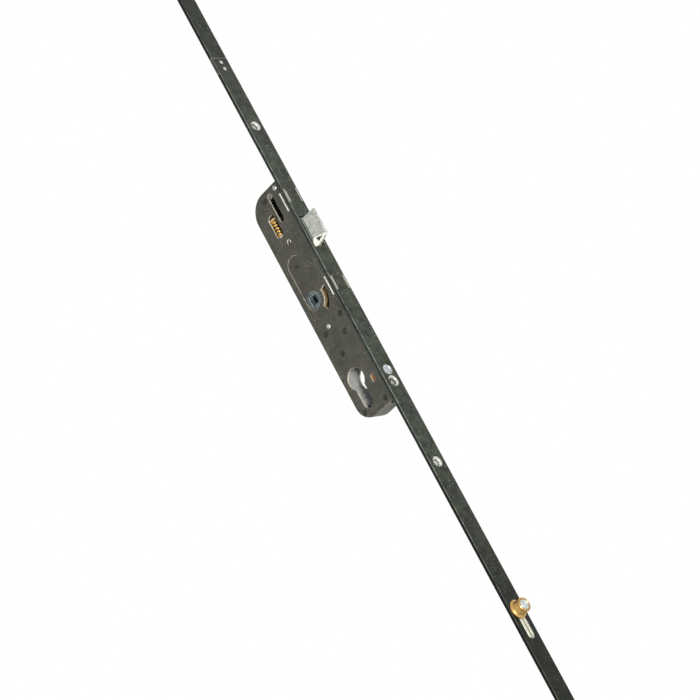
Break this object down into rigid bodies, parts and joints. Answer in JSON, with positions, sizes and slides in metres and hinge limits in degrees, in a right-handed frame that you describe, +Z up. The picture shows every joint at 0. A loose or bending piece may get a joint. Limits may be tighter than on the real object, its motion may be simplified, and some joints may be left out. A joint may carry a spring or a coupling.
{
  "type": "multipoint cremone bolt lock",
  "caption": "Mortice gearbox with a long faceplate, sliding drive rod, roller cams and a sprung latch for a door.",
  "frame": {"origin": "centre of the follower's square hole for the handle spindle, midway through the case", "axes": "+Z up along the faceplate, +X out of the faceplate's front towards the frame keep, +Y through the door's thickness away from the side with the seen case plate"},
  "size_m": [0.0492, 0.0163, 0.8],
  "materials": {
    "faceplate_steel": "titanium-grey satin coating",
    "case_steel": "grey galvanised and passivated sheet",
    "cast_zinc": "nickel-plated zinc casting",
    "zinc_steel": "bright zinc-plated steel",
    "bright_rivet": "bright riveted steel",
    "dark_rivet": "dark riveted steel",
    "copper_plated": "copper-plated steel",
    "gold_spring": "yellow-passivated spring wire",
    "roller_brass": "turned brass"
  },
  "bodies": {
    "lock_case": {"faceplate": "faceplate_steel", "faceplate_extension": "faceplate_steel", "splice_rivets": "zinc_steel", "near_side_plate": "case_steel", "case_tray": "case_steel", "case_posts_domed": "bright_rivet", "case_posts_flat": "dark_rivet", "guard_rivet": "dark_rivet", "lever_pivot_pin": "dark_rivet", "latch_guide_pin": "dark_rivet", "rod_guide_upper_near": "zinc_steel", "rod_guide_upper_far": "zinc_steel", "rod_guide_middle_near": "zinc_steel", "rod_guide_middle_far": "zinc_steel", "case_stud": "zinc_steel", "stud_block": "copper_plated", "spring_seat": "dark_rivet", "return_spring": "gold_spring"},
    "handle_follower": {"follower": "cast_zinc", "gear_sector": "zinc_steel"},
    "drive_rod": {"drive_rod": "zinc_steel", "drive_rack": "zinc_steel", "rod_lug": "zinc_steel", "lug_pin": "bright_rivet", "lower_roller_pin": "bright_rivet", "upper_roller_pin": "bright_rivet"},
    "lower_roller": {"lower_roller": "roller_brass"},
    "upper_roller": {"upper_roller": "roller_brass"},
    "latch": {"latch_head": "cast_zinc", "latch_tail": "zinc_steel"},
    "latch_lever": {"latch_lever": "zinc_steel", "lever_tip_pin": "dark_rivet", "lever_heel_pin": "dark_rivet"},
    "return_plunger": {"return_plunger": "zinc_steel"},
    "lock_slide": {"lock_slide": "zinc_steel"}
  },
  "joints": [
    {"name": "rod_slide", "type": "slide", "parent": "lock_case", "child": "drive_rod", "axis": [0, 0, -1], "range_m": [0, 0.02]},
    {"name": "handle_turn", "type": "hinge", "parent": "lock_case", "child": "handle_follower", "pos_m": [0, 0, 0], "axis": [0, 1, 0], "range_deg": [0, 90]},
    {"name": "latch_slide", "type": "slide", "parent": "lock_case", "child": "latch", "axis": [-1, 0, 0], "range_m": [0, 0.0106], "stiffness_N_per_m": 600, "springref_m": -0.006},
    {"name": "latch_lever_turn", "type": "hinge", "parent": "lock_case", "child": "latch_lever", "pos_m": [0.001, 0, 0.0296], "axis": [0, -1, 0], "range_deg": [0, 39]},
    {"name": "return_plunger_lift", "type": "slide", "parent": "lock_case", "child": "return_plunger", "axis": [0, 0, 1], "range_m": [0, 0.0028], "deforming": ["return_spring"]},
    {"name": "lock_slide_lift", "type": "slide", "parent": "lock_case", "child": "lock_slide", "axis": [0, 0, 1], "range_m": [0, 0.003]},
    {"name": "lower_roller_spin", "type": "hinge", "parent": "drive_rod", "child": "lower_roller", "pos_m": [0.03, 0, -0.2805], "axis": [1, 0, 0], "continuous": true},
    {"name": "upper_roller_spin", "type": "hinge", "parent": "drive_rod", "child": "upper_roller", "pos_m": [0.03, 0, 0.33], "axis": [1, 0, 0], "continuous": true}
  ],
  "couplings": [
    {"joint": "handle_turn", "follows": "rod_slide", "rad_per_m": 78.431},
    {"joint": "latch_lever_turn", "follows": "latch_slide", "rad_per_m": 63.7},
    {"joint": "return_plunger_lift", "follows": "latch_slide", "ratio": 0.255}
  ]
}
